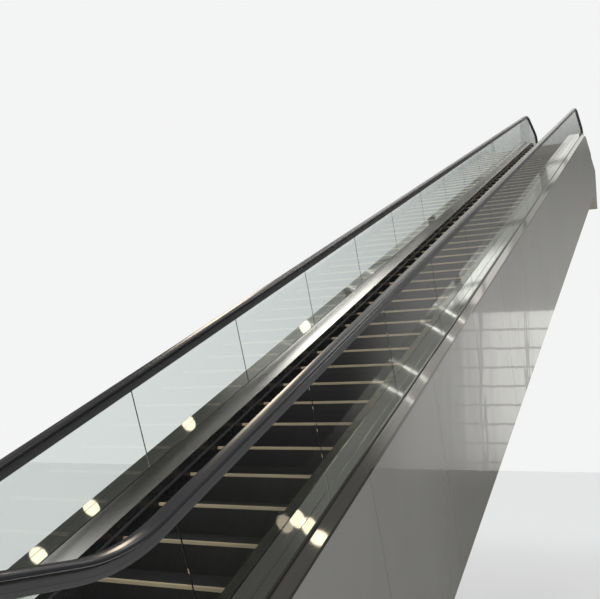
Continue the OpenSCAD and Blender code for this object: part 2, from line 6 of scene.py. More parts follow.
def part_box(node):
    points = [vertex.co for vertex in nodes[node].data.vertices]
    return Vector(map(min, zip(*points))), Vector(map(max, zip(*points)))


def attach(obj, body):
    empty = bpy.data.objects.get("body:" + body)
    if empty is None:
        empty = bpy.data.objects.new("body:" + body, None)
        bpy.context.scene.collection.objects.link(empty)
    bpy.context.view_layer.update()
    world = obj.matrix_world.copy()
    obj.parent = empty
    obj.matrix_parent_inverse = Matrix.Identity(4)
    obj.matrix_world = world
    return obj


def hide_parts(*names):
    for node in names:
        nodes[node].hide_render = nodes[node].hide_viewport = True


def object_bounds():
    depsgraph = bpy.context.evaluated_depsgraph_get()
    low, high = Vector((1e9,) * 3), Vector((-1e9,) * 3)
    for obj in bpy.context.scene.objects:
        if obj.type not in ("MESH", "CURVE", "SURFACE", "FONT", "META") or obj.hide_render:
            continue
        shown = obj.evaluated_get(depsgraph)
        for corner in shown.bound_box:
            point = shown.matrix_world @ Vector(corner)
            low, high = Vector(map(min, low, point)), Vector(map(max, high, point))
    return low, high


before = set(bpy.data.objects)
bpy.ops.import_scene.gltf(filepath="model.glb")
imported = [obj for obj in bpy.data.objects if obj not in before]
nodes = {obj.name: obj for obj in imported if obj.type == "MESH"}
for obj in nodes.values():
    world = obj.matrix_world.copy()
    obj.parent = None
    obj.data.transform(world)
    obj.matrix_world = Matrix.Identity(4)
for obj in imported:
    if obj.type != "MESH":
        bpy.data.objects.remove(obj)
low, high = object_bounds()

# Sizes along the run, in metres, from the same drawing as the CAD model
ANGLE = math.radians(27.3)
LOWER_R, UPPER_R = 1.1, 1.5
RISE = 9.68
LOWER_Z = 0.16
UPPER_Z = LOWER_Z + RISE
TRUSS_LOW = 0.075
LANDING = 1.5
LOWER_COMB = TRUSS_LOW + LANDING
LOWER_RUN = 1.491
LOWER_CORNER = LOWER_COMB + LOWER_RUN
UPPER_CORNER = LOWER_CORNER + RISE / math.tan(ANGLE)
LOWER_T = LOWER_R * math.tan(ANGLE / 2)
UPPER_T = UPPER_R * math.tan(ANGLE / 2)
INCLINE = RISE / math.sin(ANGLE)
STRAIGHT = INCLINE - LOWER_T - UPPER_T
PITCH = 0.4038
STEPS = 59
STEP_GAP = 0.0038
COMB_REACH = 0.027
LEVEL_RUN = LOWER_RUN - LOWER_T
PATH_UP = LEVEL_RUN + LOWER_R * ANGLE + STRAIGHT + UPPER_R * ANGLE
UPPER_COMB = UPPER_CORNER + STEPS * PITCH - 2 * COMB_REACH - STEP_GAP - PATH_UP + UPPER_T
TRUSS_UP = UPPER_COMB + LANDING
NEWEL_R = 0.39
NEWEL_REACH = 0.56
NEWEL_LOW = LOWER_COMB - NEWEL_REACH + NEWEL_R
NEWEL_UP = UPPER_COMB + NEWEL_REACH - NEWEL_R
BASE_BEYOND = 0.1
BASE_LOW = NEWEL_LOW - BASE_BEYOND
BASE_UP = NEWEL_UP + BASE_BEYOND
PANEL = 1.62
SOFFIT_DEPTH = 1.71

# Sizes across the run, from its middle, and heights above the line of the nosings
SIDES = ((1, "left"), (-1, "right"))
STEP_HALF = 0.5
HANDRAIL_Y = 0.628
GUIDE_LIFT = 0.888
GLASS_SLOT = 0.007
SHEET = 0.007
SEAT = 0.0003
SKIRT_FACE, SKIRT_BACK = 0.503, 0.511
SKIRT_TOP, SKIRT_FOOT = 0.1, -0.205
DECK_TOP = 0.165
DECK_EDGE = 0.795
SHADOW_Y, SHADOW_GAP = 0.732, 0.003
CAP_TOP, CAP_SHOULDER, CAP_FOOT = 0.128, 0.084, 0.0603
CAP_BACK, CAP_EDGE = 0.837, 0.849

# Lengths of the sheets with the joints between them, and the small radii of their folds
DECK_CUT = (3.0, 0.0012)
SKIRT_CUT = (2.4, 0.0015)
FOLD_R, CAP_FOLD_R, SKIRT_R, GUIDE_R = 0.0012, 0.0015, 0.001, 0.0008

# Facets of a path, and the lift of thin trim over the face that it lies on
LINE_STEP = 1.0
BEND_STEP = math.radians(2.5)
TRIM_LIFT = 0.0001


# Paths and sweeps
def walk(moves, x, z, heading):
    """Stations (x, z, heading, length) along lines and bends, headings in radians."""
    out = [(x, z, heading, 0.0)]
    s = 0.0
    for kind, size, *turns in moves:
        if kind == "line":
            n = max(1, int(size / LINE_STEP))
            for i in range(n):
                s += size / n
                x += size / n * math.cos(heading)
                z += size / n * math.sin(heading)
                out.append((x, z, heading, s))
        else:
            turn = turns[0]
            side = 1 if turn > 0 else -1
            n = max(4, int(abs(turn) / BEND_STEP))
            cx = x - side * size * math.sin(heading)
            cz = z + side * size * math.cos(heading)
            for i in range(1, n + 1):
                h = heading + turn * i / n
                out.append((cx + side * size * math.sin(h), cz - side * size * math.cos(h), h,
                            s + size * abs(turn) * i / n))
            x, z = out[-1][:2]
            heading += turn
            s += size * abs(turn)
    return out


def run_moves(x0, x1):
    """The run from one landing to the other, between two places along it."""
    return [("line", LOWER_CORNER - LOWER_T - x0), ("bend", LOWER_R, ANGLE), ("line", STRAIGHT),
            ("bend", UPPER_R, -ANGLE), ("line", x1 - UPPER_CORNER - UPPER_T)]


def base_lengths(sheet, gap, x0=BASE_LOW, x1=BASE_UP):
    """The base run cut into lengths with a fine joint between them."""
    lengths = []
    for move in run_moves(x0, x1):
        if move[0] == "line" and move[1] > 2 * sheet:
            n = round(move[1] / sheet)
            lengths += [("line", move[1] / n)] * n
        else:
            lengths.append(move)
    runs = []
    x, z, h = x0, LOWER_Z, 0.0
    for move in lengths:
        stations = walk([move], x, z, h)
        x, z, h = stations[-1][:3]
        for end, shift in ((0, gap / 2), (-1, -gap / 2)):
            ex, ez, eh, s = stations[end]
            stations[end] = (ex + shift * math.cos(eh), ez + shift * math.sin(eh), eh, s + shift)
        runs.append(stations)
    return runs


def soften(points, r, n=2):
    """Rounds each corner of a closed outline; a point beside each round keeps the flats flat."""
    longest, beside = 0.30, 1.4
    out = []
    for i, point in enumerate(points):
        p, a, b = Vector(point), Vector(points[i - 1]), Vector(points[(i + 1) % len(points)])
        k = min(r, longest * (a - p).length, longest * (b - p).length)
        to_a, to_b = (a - p).normalized(), (b - p).normalized()
        pa, pb = p + to_a * k, p + to_b * k
        out.append(tuple(p + to_a * beside * k))
        for j in range(n + 1):
            t = j / n
            out.append(tuple((1 - t) ** 2 * pa + 2 * t * (1 - t) * p + t ** 2 * pb))
        out.append(tuple(p + to_b * beside * k))
    return out


def area(points):
    return sum(points[i - 1][0] * points[i][1] - points[i][0] * points[i - 1][1]
               for i in range(len(points))) / 2


def new_object(name, verts, faces, uvs=None, smooth=35):
    """A mesh object, smooth below the given angle in degrees, or flat with an angle of 0."""
    mesh = bpy.data.meshes.new(name)
    mesh.from_pydata(verts, [], faces)
    if uvs:
        layer = mesh.uv_layers.new(name="UVMap")
        flat = [c for face_uv in uvs for uv in face_uv for c in uv]
        layer.data.foreach_set("uv", flat)
    mesh.update()
    if smooth:
        mesh.shade_smooth()
        mesh.set_sharp_from_angle(angle=math.radians(smooth))
    obj = bpy.data.objects.new(name, mesh)
    bpy.context.scene.collection.objects.link(obj)
    return obj


def sweep(name, profile, runs, side=1, smooth=35):
    """Sweeps a closed outline (across, square to the path) along each run of stations."""
    if area(profile) < 0:
        profile = profile[::-1]
    m = len(profile)
    along = [0.0]
    for i in range(m):
        along.append(along[-1] + (Vector(profile[(i + 1) % m]) - Vector(profile[i])).length)
    verts, faces, uvs = [], [], []
    for stations in runs:
        base = len(verts)
        for x, z, h, _ in stations:
            for y, v in profile:
                verts.append((x - v * math.sin(h), side * y, z + v * math.cos(h)))
        for k in range(len(stations) - 1):
            s0, s1 = stations[k][3], stations[k + 1][3]
            for j in range(m):
                a, b = base + k * m + j, base + k * m + (j + 1) % m
                face = (a, b, b + m, a + m)
                uv = ((s0, along[j]), (s0, along[j + 1]), (s1, along[j + 1]), (s1, along[j]))
                faces.append(face[::side])
                uvs.append(uv[::side])
        first = tuple(range(base, base + m))
        last = tuple(range(len(verts) - m, len(verts)))
        for cap in (first[::-side], last[::side]):
            faces.append(cap)
            uvs.append(tuple((0.0, 0.0) for _ in cap))
    return new_object(name, verts, faces, uvs, smooth)


def add_box(verts, faces, x0, x1, y0, y1, z0, z1):
    base = len(verts)
    for x in (x0, x1):
        for y in (y0, y1):
            for z in (z0, z1):
                verts.append((x, y, z))
    for q in ((0, 1, 3, 2), (4, 6, 7, 5), (0, 4, 5, 1), (2, 3, 7, 6), (0, 2, 6, 4), (1, 5, 7, 3)):
        faces.append(tuple(base + k for k in q))


def add_turned(verts, faces, rings, place, n, mirrored=False, capped=True):
    """A turned form from rings (radius, height) of n points each.

    place(radius, height, angle) gives a point. Where it is left-handed, mirrored turns the faces over.
    """
    base = len(verts)
    for r, h in rings:
        for i in range(n):
            verts.append(place(r, h, 2 * math.pi * i / n))
    for k in range(len(rings) - 1):
        for i in range(n):
            a, b = base + k * n + i, base + k * n + (i + 1) % n
            faces.append((a, a + n, b + n, b) if mirrored else (a, b, b + n, a + n))
    if capped:
        first = tuple(range(base, base + n))
        last = tuple(range(len(verts) - n, len(verts)))
        faces += [first, last[::-1]] if mirrored else [last, first[::-1]]


# Shader helpers
def material(name):
    mat = bpy.data.materials.new(name)
    mat.use_nodes = True
    nt = mat.node_tree
    return mat, nt, nt.nodes["Principled BSDF"]


def coords(nt, kind="Object", scale=(1, 1, 1)):
    place = nt.nodes.new("ShaderNodeTexCoord")
    mapping = nt.nodes.new("ShaderNodeMapping")
    mapping.inputs["Scale"].default_value = scale
    nt.links.new(place.outputs[kind], mapping.inputs["Vector"])
    return mapping.outputs["Vector"]


def noise(nt, vector, scale, detail=3.0, rough=0.55):
    n = nt.nodes.new("ShaderNodeTexNoise")
    n.inputs["Scale"].default_value = scale
    n.inputs["Detail"].default_value = detail
    n.inputs["Roughness"].default_value = rough
    nt.links.new(vector, n.inputs["Vector"])
    return n.outputs["Fac"]


def ramp(nt, fac, stops):
    """Colours or grey values at the given places of a factor."""
    r = nt.nodes.new("ShaderNodeValToRGB")
    while len(r.color_ramp.elements) < len(stops):
        r.color_ramp.elements.new(0.5)
    for e, (place, colour) in zip(r.color_ramp.elements, stops):
        e.position = place
        e.color = (*colour, 1) if isinstance(colour, tuple) else (colour, colour, colour, 1)
    nt.links.new(fac, r.inputs["Fac"])
    return r.outputs["Color"]


def calc(nt, operation, *values):
    """A maths node, whose inputs are sockets or constants."""
    node = nt.nodes.new("ShaderNodeMath")
    node.operation = operation
    for socket, value in zip(node.inputs, values):
        if isinstance(value, (int, float)):
            socket.default_value = value
        else:
            nt.links.new(value, socket)
    return node.outputs[0]


def product(nt, first, *others):
    """Sockets and constants multiplied together."""
    out = first
    for value in others:
        out = calc(nt, "MULTIPLY", out, value)
    return out


def bump(nt, bsdf, height, strength, distance):
    b = nt.nodes.new("ShaderNodeBump")
    b.inputs["Strength"].default_value = strength
    b.inputs["Distance"].default_value = distance
    nt.links.new(height, b.inputs["Height"])
    nt.links.new(b.outputs["Normal"], bsdf.inputs["Normal"])


# Materials
def sheet_steel(name, dark, light, rough, uv=True):
    """Polished sheet with faint lines along the travel, which mirrors the room a little unevenly."""
    mat, nt, bsdf = material(name)
    if uv:
        fine = coords(nt, "UV", scale=(0.8, 260, 1))
        broad = coords(nt, "UV", scale=(0.5, 6, 1))
    else:
        fine = coords(nt, scale=(0.8, 260, 260))
        broad = coords(nt, scale=(0.5, 5, 5))
    lines = noise(nt, fine, scale=1.0, detail=2.0, rough=0.5)
    cloud = noise(nt, broad, scale=1.3, detail=2.0, rough=0.5)
    nt.links.new(ramp(nt, lines, [(0.3, dark), (0.7, light)]), bsdf.inputs["Base Color"])
    nt.links.new(ramp(nt, cloud, [(0.25, rough * 0.8), (0.75, rough * 1.25)]), bsdf.inputs["Roughness"])
    bsdf.inputs["Metallic"].default_value = 1.0
    wave = noise(nt, coords(nt, scale=(2.2, 2.2, 2.2)), scale=1.0, detail=1.0, rough=0.4)
    bump(nt, bsdf, wave, strength=1.0, distance=0.0002)
    return mat


def painted(name, colour, rough, coat=0.0, mottle=0.04, metallic=0.0, strength=0.08):
    """Paint, plastic, rubber or plain metal with slight clouds and a fine grain."""
    mat, nt, bsdf = material(name)
    vec = coords(nt)
    cloud = noise(nt, vec, scale=2.2)
    wear = noise(nt, vec, scale=9.0, detail=4.0)
    grain = noise(nt, vec, scale=240.0, detail=2.0)
    dark, light = tuple(c * (1 - mottle) for c in colour), tuple(c * (1 + mottle) for c in colour)
    nt.links.new(ramp(nt, cloud, [(0.3, dark), (0.7, light)]), bsdf.inputs["Base Color"])
    nt.links.new(ramp(nt, wear, [(0.3, rough * 0.85), (0.7, rough * 1.15)]), bsdf.inputs["Roughness"])
    bsdf.inputs["Metallic"].default_value = metallic
    bsdf.inputs["Coat Weight"].default_value = coat
    bsdf.inputs["Coat Roughness"].default_value = 0.05
    bump(nt, bsdf, grain, strength, distance=0.0006)
    return mat


def gloss_cladding():
    """Glossy panels whose sheet is never quite flat, so that reflections waver."""
    mat, nt, bsdf = material("cladding_gloss")
    vec = coords(nt)
    dark, light = (0.235, 0.228, 0.212), (0.285, 0.280, 0.265)
    cloud = noise(nt, vec, scale=0.5, detail=2.0)
    wear = noise(nt, vec, scale=4.0)
    nt.links.new(ramp(nt, cloud, [(0.3, dark), (0.7, light)]), bsdf.inputs["Base Color"])
    nt.links.new(ramp(nt, wear, [(0.3, 0.16), (0.7, 0.24)]), bsdf.inputs["Roughness"])
    bsdf.inputs["Coat Weight"].default_value = 1.0
    bsdf.inputs["Coat Roughness"].default_value = 0.015
    slow = noise(nt, coords(nt, scale=(4.2, 4.2, 0.9)), scale=1.0, detail=0.0, rough=0.5)
    dents = noise(nt, coords(nt, scale=(3.6, 3.6, 2.6)), scale=1.0, detail=0.0, rough=0.5)
    bump(nt, bsdf, calc(nt, "MULTIPLY_ADD", dents, 1.1, slow), strength=1.0, distance=0.0007)
    nt.links.new(bsdf.inputs["Normal"].links[0].from_socket, bsdf.inputs["Coat Normal"])
    return mat


def belt_rubber():
    """Smooth black rubber with scuffs along the belt."""
    mat, nt, bsdf = material("belt_rubber")
    scuff = noise(nt, coords(nt, "UV", scale=(1.5, 130, 1)), scale=1.0, detail=2.0, rough=0.6)
    dark, light = (0.021, 0.021, 0.024), (0.030, 0.030, 0.034)
    nt.links.new(ramp(nt, scuff, [(0.3, dark), (0.75, light)]), bsdf.inputs["Base Color"])
    nt.links.new(ramp(nt, scuff, [(0.3, 0.17), (0.8, 0.22)]), bsdf.inputs["Roughness"])
    bsdf.inputs["Specular IOR Level"].default_value = 0.75
    return mat


def glass():
    mat, nt, bsdf = material("balustrade_glass")
    haze = noise(nt, coords(nt), scale=3.0)
    nt.links.new(ramp(nt, haze, [(0.3, 0.0), (0.8, 0.012)]), bsdf.inputs["Roughness"])
    bsdf.inputs["Base Color"].default_value = (0.83, 0.88, 0.86, 1)
    bsdf.inputs["Transmission Weight"].default_value = 1.0
    bsdf.inputs["IOR"].default_value = 1.5
    return mat


def opal_lamp(colour, strength):
    """The lit face of a downlight."""
    mat, nt, bsdf = material("lamp_opal")
    dark = tuple(0.96 * c for c in colour)
    speckle = noise(nt, coords(nt), scale=60.0, detail=2.0)
    nt.links.new(ramp(nt, speckle, [(0.2, dark), (0.8, colour)]), bsdf.inputs["Base Color"])
    bsdf.inputs["Emission Color"].default_value = (*colour, 1)
    bsdf.inputs["Emission Strength"].default_value = strength
    bsdf.inputs["Roughness"].default_value = 0.35
    return mat


deck_steel = sheet_steel("deck_steel", (0.50, 0.495, 0.465), (0.58, 0.575, 0.545), rough=0.032)
inner_steel = sheet_steel("inner_steel", (0.35, 0.348, 0.33), (0.37, 0.367, 0.35), rough=0.18)
cap_steel = sheet_steel("cap_steel", (0.46, 0.45, 0.42), (0.53, 0.52, 0.49), rough=0.038)
guide_steel = sheet_steel("guide_steel", (0.16, 0.16, 0.165), (0.22, 0.22, 0.225), rough=0.24)
plate_aluminium = sheet_steel("plate_aluminium", (0.50, 0.50, 0.49), (0.60, 0.60, 0.59), rough=0.36, uv=False)
lip_aluminium = painted("lip_aluminium", (0.105, 0.105, 0.108), rough=0.34, metallic=0.3, mottle=0.05,
                        strength=0.02)
plate_groove = painted("plate_groove", (0.055, 0.055, 0.055), rough=0.5, mottle=0.15)
comb_aluminium = painted("comb_aluminium", (0.52, 0.52, 0.50), rough=0.34, metallic=1.0)
step_paint = painted("step_paint", (0.026, 0.026, 0.028), rough=0.40, mottle=0.25)
edging_yellow = painted("edging_yellow", (0.76, 0.61, 0.41), rough=0.5, mottle=0.12)
skirt_paint = painted("skirt_paint", (0.024, 0.024, 0.025), rough=0.26, mottle=0.2)
brush_plastic = painted("brush_plastic", (0.020, 0.020, 0.020), rough=0.6)
holder_metal = painted("holder_metal", (0.025, 0.025, 0.026), rough=0.4)
truss_paint = painted("truss_paint", (0.16, 0.165, 0.17), rough=0.6)
support_paint = painted("support_paint", (0.14, 0.145, 0.15), rough=0.5)
shoe_metal = painted("shoe_metal", (0.12, 0.12, 0.12), rough=0.45, metallic=0.8)
soffit_paint = painted("soffit_paint", (0.34, 0.295, 0.22), rough=0.33, coat=0.15, mottle=0.03, strength=0.03)
end_paint = painted("end_paint", (0.27, 0.265, 0.25), rough=0.5)
cap_plastic = painted("cap_plastic", (0.016, 0.016, 0.017), rough=0.35, mottle=0.15)
collar_rubber = painted("collar_rubber", (0.030, 0.030, 0.031), rough=0.55, mottle=0.1)
wheel_rubber = painted("wheel_rubber", (0.03, 0.03, 0.03), rough=0.6)
ring_metal = painted("ring_metal", (0.62, 0.60, 0.56), rough=0.3, metallic=1.0)
screw_metal = painted("screw_metal", (0.30, 0.30, 0.30), rough=0.35, metallic=1.0)
cladding_paint = gloss_cladding()
rubber = belt_rubber()
clear = glass()
lamp = opal_lamp((1.0, 0.93, 0.80), strength=1.6)

STEP_GROUPS = (("steps_lower", 0, 5), ("steps_second", 5, 22), ("steps_middle", 22, 39),
               ("steps_fourth", 39, 54), ("steps_upper", 54, STEPS))


def dress(names, mat):
    for name in names:
        slots = nodes[name].material_slots
        for slot in slots:
            slot.material = mat
        if not slots:
            nodes[name].data.materials.append(mat)


def both(stem):
    return [stem + "_left", stem + "_right"]


dress(["truss_lower", "truss_incline", "truss_upper"] + both("track"), truss_paint)
dress(["lower_support", "upper_support"], support_paint)
dress(["lower_floor_plate", "upper_floor_plate"], plate_aluminium)
dress(["lower_comb", "upper_comb"], comb_aluminium)
dress([group[0] for group in STEP_GROUPS], step_paint)
dress(["step_edging"], edging_yellow)
dress(both("skirt"), skirt_paint)
dress(both("skirt_brush"), brush_plastic)
dress(both("inner_deck") + both("outer_deck"), deck_steel)
dress(both("cladding_cap"), cap_steel)
dress(both("glass_shoe"), shoe_metal)
dress(both("glass"), clear)
dress(both("handrail_guide"), guide_steel)
dress(both("handrail"), rubber)
dress(both("cladding"), cladding_paint)
dress(["soffit_panels"], soffit_paint)
dress(["downlights"], lamp)
dress(["newel_caps_lower", "newel_caps_upper"], cap_plastic)
dress(["lower_end_panel", "upper_end_panel"], end_paint)


def keep(obj, mat, slot, *replaced):
    """Gives a piece its material and body, and hides the CAD nodes that it stands for; the slot is not used.
    """
    obj.data.materials.append(mat)
    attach(obj, "root")
    if replaced:
        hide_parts(*replaced)


# Decks, caps and skirts, with softened folds
def inner_deck(side, tag):
    foot = SKIRT_TOP + SEAT
    edge = HANDRAIL_Y - GLASS_SLOT
    outline = [(SKIRT_FACE, foot), (SKIRT_FACE, SKIRT_TOP + SHEET), (edge, DECK_TOP),
               (edge, DECK_TOP - SHEET), (SKIRT_BACK, foot)]
    keep(sweep("inner_deck_sheet_" + tag, soften(outline, FOLD_R), base_lengths(*DECK_CUT), side),
         inner_steel, "deck", "inner_deck_" + tag)


def outer_deck(side, tag):
    start = HANDRAIL_Y + GLASS_SLOT
    under, foot, gap_end = DECK_TOP - SHEET, CAP_TOP + SEAT, SHADOW_Y + SHADOW_GAP
    outline = [(start, under), (start, DECK_TOP), (SHADOW_Y, DECK_TOP), (SHADOW_Y, DECK_TOP - SHADOW_GAP),
               (gap_end, DECK_TOP - SHADOW_GAP), (gap_end, DECK_TOP), (DECK_EDGE, DECK_TOP),
               (DECK_EDGE, foot), (DECK_EDGE - SHEET, foot), (DECK_EDGE - SHEET, under)]
    keep(sweep("outer_deck_sheet_" + tag, soften(outline, FOLD_R), base_lengths(*DECK_CUT), side),
         deck_steel, "deck", "outer_deck_" + tag)


def cladding_cap(side, tag):
    start, under = DECK_EDGE - 2 * SHEET, CAP_TOP - SHEET
    outline = [(start, CAP_TOP), (DECK_EDGE, CAP_TOP), (CAP_EDGE, CAP_SHOULDER), (CAP_EDGE, CAP_FOOT),
               (CAP_BACK, CAP_FOOT), (CAP_BACK, CAP_SHOULDER), (DECK_EDGE - SHEET, under), (start, under)]
    keep(sweep("cladding_cap_sheet_" + tag, soften(outline, CAP_FOLD_R), base_lengths(*DECK_CUT), side),
         cap_steel, "deck", "cladding_cap_" + tag)


def skirt_panel(side, tag):
    outline = [(SKIRT_FACE, SKIRT_FOOT), (SKIRT_FACE, SKIRT_TOP), (SKIRT_BACK, SKIRT_TOP),
               (SKIRT_BACK, SKIRT_FOOT)]
    keep(sweep("skirt_panel_" + tag, soften(outline, SKIRT_R), base_lengths(*SKIRT_CUT), side),
         skirt_paint, "skirt", "skirt_" + tag)


# Belts, their guides and the grooved lips below them
def loop_moves(turn, tail=0):
    """The run between the newels with the turn round each of them, and straight ends where asked for."""
    ends = [("line", tail)] if tail else []
    newel = [("bend", NEWEL_R, -turn)]
    return ends + newel + run_moves(NEWEL_LOW, NEWEL_UP) + newel + ends


def belt_outline():
    """A belt in section: a crown on two round shoulders, and a hollow that grips the guide."""
    half, top, crown = 0.040, 0.0119, 0.167
    shoulder_r, shoulder_v, shoulder_turn = 0.0125, -0.0035, 169
    mouth, ledge, underside = 0.0191, -0.0089, -0.016
    hollow, roof = 0.029, SEAT
    points = [(mouth, ledge), (mouth, underside)]
    for i in range(15):
        t = math.radians(shoulder_turn * i / 14 - 90)
        points.append((half - shoulder_r + shoulder_r * math.cos(t), shoulder_v + shoulder_r * math.sin(t)))
    start_y, start_v = points[-1]
    lift = start_v - (top - start_y ** 2 / (2 * crown))
    for i in range(1, 7):
        y = start_y * (1 - i / 6)
        points.append((y, top - y * y / (2 * crown) + lift * (1 - i / 6)))
    points += [(-y, v) for y, v in reversed(points[:-1])]
    return points + [(-hollow, ledge), (-hollow, roof), (hollow, roof), (hollow, ledge)]


def guide_outline():
    """A guide in section: a head in the belt's hollow, a neck, and two flanges on the glass."""
    glass_half, glass_top = 0.0063, -0.0285
    right = [(glass_half, -0.054), (0.012, -0.054), (0.012, -0.024), (0.022, -0.024), (0.022, -0.017),
             (0.0185, -0.017), (0.0185, -0.0086), (0.0284, -0.0086), (0.0284, 0.0)]
    return right + [(-y, v) for y, v in reversed(right)] + [(-glass_half, glass_top), (glass_half, glass_top)]


# The lip along one flange of the guide in section: a foot under the flange, and a groove halfway up its face
LIP = [(0.0063, -0.0760), (0.0135, -0.0760), (0.0150, -0.0745), (0.0150, -0.0560), (0.0136, -0.0548),
       (0.0136, -0.0532), (0.0150, -0.0520), (0.0150, -0.0290), (0.0140, -0.0275), (0.0123, -0.0275),
       (0.0123, -0.0543), (0.0063, -0.0543)]


def rail_pieces(side, tag):
    tail = 0.22
    loop = walk(loop_moves(math.pi, tail), NEWEL_LOW + tail, LOWER_Z + GUIDE_LIFT - 2 * NEWEL_R, math.pi)
    belt = [(HANDRAIL_Y + y, v) for y, v in belt_outline()]
    keep(sweep("belt_" + tag, belt, [loop], side, smooth=50), rubber, "belt", "handrail_" + tag)
    guide_end = 0.126
    short = math.asin(guide_end / NEWEL_R)
    newel_z = LOWER_Z + GUIDE_LIFT - NEWEL_R
    loop = walk(loop_moves(math.pi - short), NEWEL_LOW - NEWEL_R * math.sin(short),
                newel_z - NEWEL_R * math.cos(short), math.pi - short)
    guide = soften([(HANDRAIL_Y + y, v) for y, v in guide_outline()], GUIDE_R, n=1)
    keep(sweep("belt_guide_" + tag, guide, [loop], side, smooth=30), guide_steel, "guide",
         "handrail_guide_" + tag)
    for face, turned in (("outer", 1), ("inner", -1)):
        lip = [(HANDRAIL_Y + turned * y, v) for y, v in LIP]
        keep(sweep("guide_lip_%s_%s" % (face, tag), lip, [loop], side, smooth=30), lip_aluminium, "guide")


for side, tag in SIDES:
    inner_deck(side, tag)
    outer_deck(side, tag)
    cladding_cap(side, tag)
    skirt_panel(side, tag)
    rail_pieces(side, tag)


# Steps with cleats on tread and riser
CLEATS = 109
RIDGE = 0.0036
RISER = 0.205
RISER_TURN = math.asin(RISER / PITCH)
RISER_GROOVE, TREAD_GROOVE = 0.006, 0.010
TREAD_END = PITCH - STEP_GAP
STEP_BODY = 0.030
EDGING_DROP, EDGING_DEPTH, EDGING_WIDER = 0.020, 0.030, 0.0022
HAIR = 0.0005


def nosing(s):
    """The nosing of a step (x, z) at a length along the path from the lower comb."""
    if s <= LEVEL_RUN:
        return LOWER_COMB + s, LOWER_Z
    if s <= LEVEL_RUN + LOWER_R * ANGLE:
        t = (s - LEVEL_RUN) / LOWER_R
        return LOWER_CORNER - LOWER_T + LOWER_R * math.sin(t), LOWER_Z + LOWER_R * (1 - math.cos(t))
    if s <= PATH_UP - UPPER_R * ANGLE:
        d = s - LEVEL_RUN - LOWER_R * ANGLE
        x0 = LOWER_CORNER - LOWER_T + LOWER_R * math.sin(ANGLE)
        z0 = LOWER_Z + LOWER_R * (1 - math.cos(ANGLE))
        return x0 + d * math.cos(ANGLE), z0 + d * math.sin(ANGLE)
    if s <= PATH_UP:
        t = (PATH_UP - s) / UPPER_R
        return UPPER_CORNER + UPPER_T - UPPER_R * math.sin(t), UPPER_Z - UPPER_R * (1 - math.cos(t))
    return UPPER_CORNER + UPPER_T + s - PATH_UP, UPPER_Z


def step_place(i):
    return nosing(i * PITCH - COMB_REACH)


def riser_point(t, depth):
    """A point of the curved riser, or of the bottom of its grooves at the given depth."""
    r = PITCH - depth
    return PITCH - r * math.cos(t), -r * math.sin(t)


def cleat_lines():
    """Outer and inner lines of the cleats: of the dark riser, of the edging and of the dark tread."""
    edge_turn = math.asin(EDGING_DROP / PITCH)
    turns = [RISER_TURN + (edge_turn - RISER_TURN) * i / 4 for i in range(5)]
    riser = [riser_point(t, 0) for t in turns], [riser_point(t, RISER_GROOVE) for t in turns]
    corner = (RISER_GROOVE + HAIR, -TREAD_GROOVE)
    top_back, low_back = (EDGING_DEPTH, 0.0), (EDGING_DEPTH, -TREAD_GROOVE)
    edging = ([riser[0][-1], (0.0006, -0.002), (0.002, 0.0), top_back],
              [riser[1][-1], corner, corner, low_back])
    tread = [top_back, (TREAD_END, 0.0)], [low_back, (TREAD_END, -TREAD_GROOVE)]
    return riser, edging, tread


def add_ridges(verts, faces, lines, x, z, places, width):
    """Ridges between an outer and an inner line, one at each place across the step."""
    outer, inner = lines
    n = len(outer)
    for y in places:
        base = len(verts)
        for yy in (y - width / 2, y + width / 2):
            for px, pz in outer + inner:
                verts.append((x + px, yy, z + pz))
        a0, a1, b0, b1 = base, base + n, base + 2 * n, base + 3 * n
        for i in range(n - 1):
            faces.append((a0 + i, b0 + i, b0 + i + 1, a0 + i + 1))
            faces.append((a0 + i, a0 + i + 1, a1 + i + 1, a1 + i))
            faces.append((b0 + i, b1 + i, b1 + i + 1, b0 + i + 1))
        faces.append((a0, a1, b1, b0))
        e = n - 1
        faces.append((a0 + e, b0 + e, b1 + e, a1 + e))


def add_core(verts, faces, outline, x, z, half):
    """A closed outline drawn out to both sides of the middle."""
    base = len(verts)
    n = len(outline)
    for yy in (-half, half):
        for px, pz in outline:
            verts.append((x + px, yy, z + pz))
    faces.append(tuple(range(base, base + n)))
    faces.append(tuple(reversed(range(base + n, base + 2 * n))))
    for i in range(n):
        j = (i + 1) % n
        faces.append((base + i, base + n + i, base + n + j, base + j))


def add_wheels(verts, faces, x, z):
    """The two wheels of a step."""
    r, inner, outer, bevel = 0.038, 0.461, 0.495, 0.003
    hub, tyre = r * 0.35, r * 0.8
    wheel_x, wheel_z = x + 0.095, z - 0.170
    for side in (-1, 1):
        y0, y1 = sorted((side * inner, side * outer))
        rings = [(hub, y0), (tyre, y0), (r, y0 + bevel), (r, y1 - bevel), (tyre, y1), (hub, y1)]
        add_turned(verts, faces, rings,
                   lambda r, h, a: (wheel_x + r * math.cos(a), h, wheel_z + r * math.sin(a)),
                   n=20, mirrored=True)


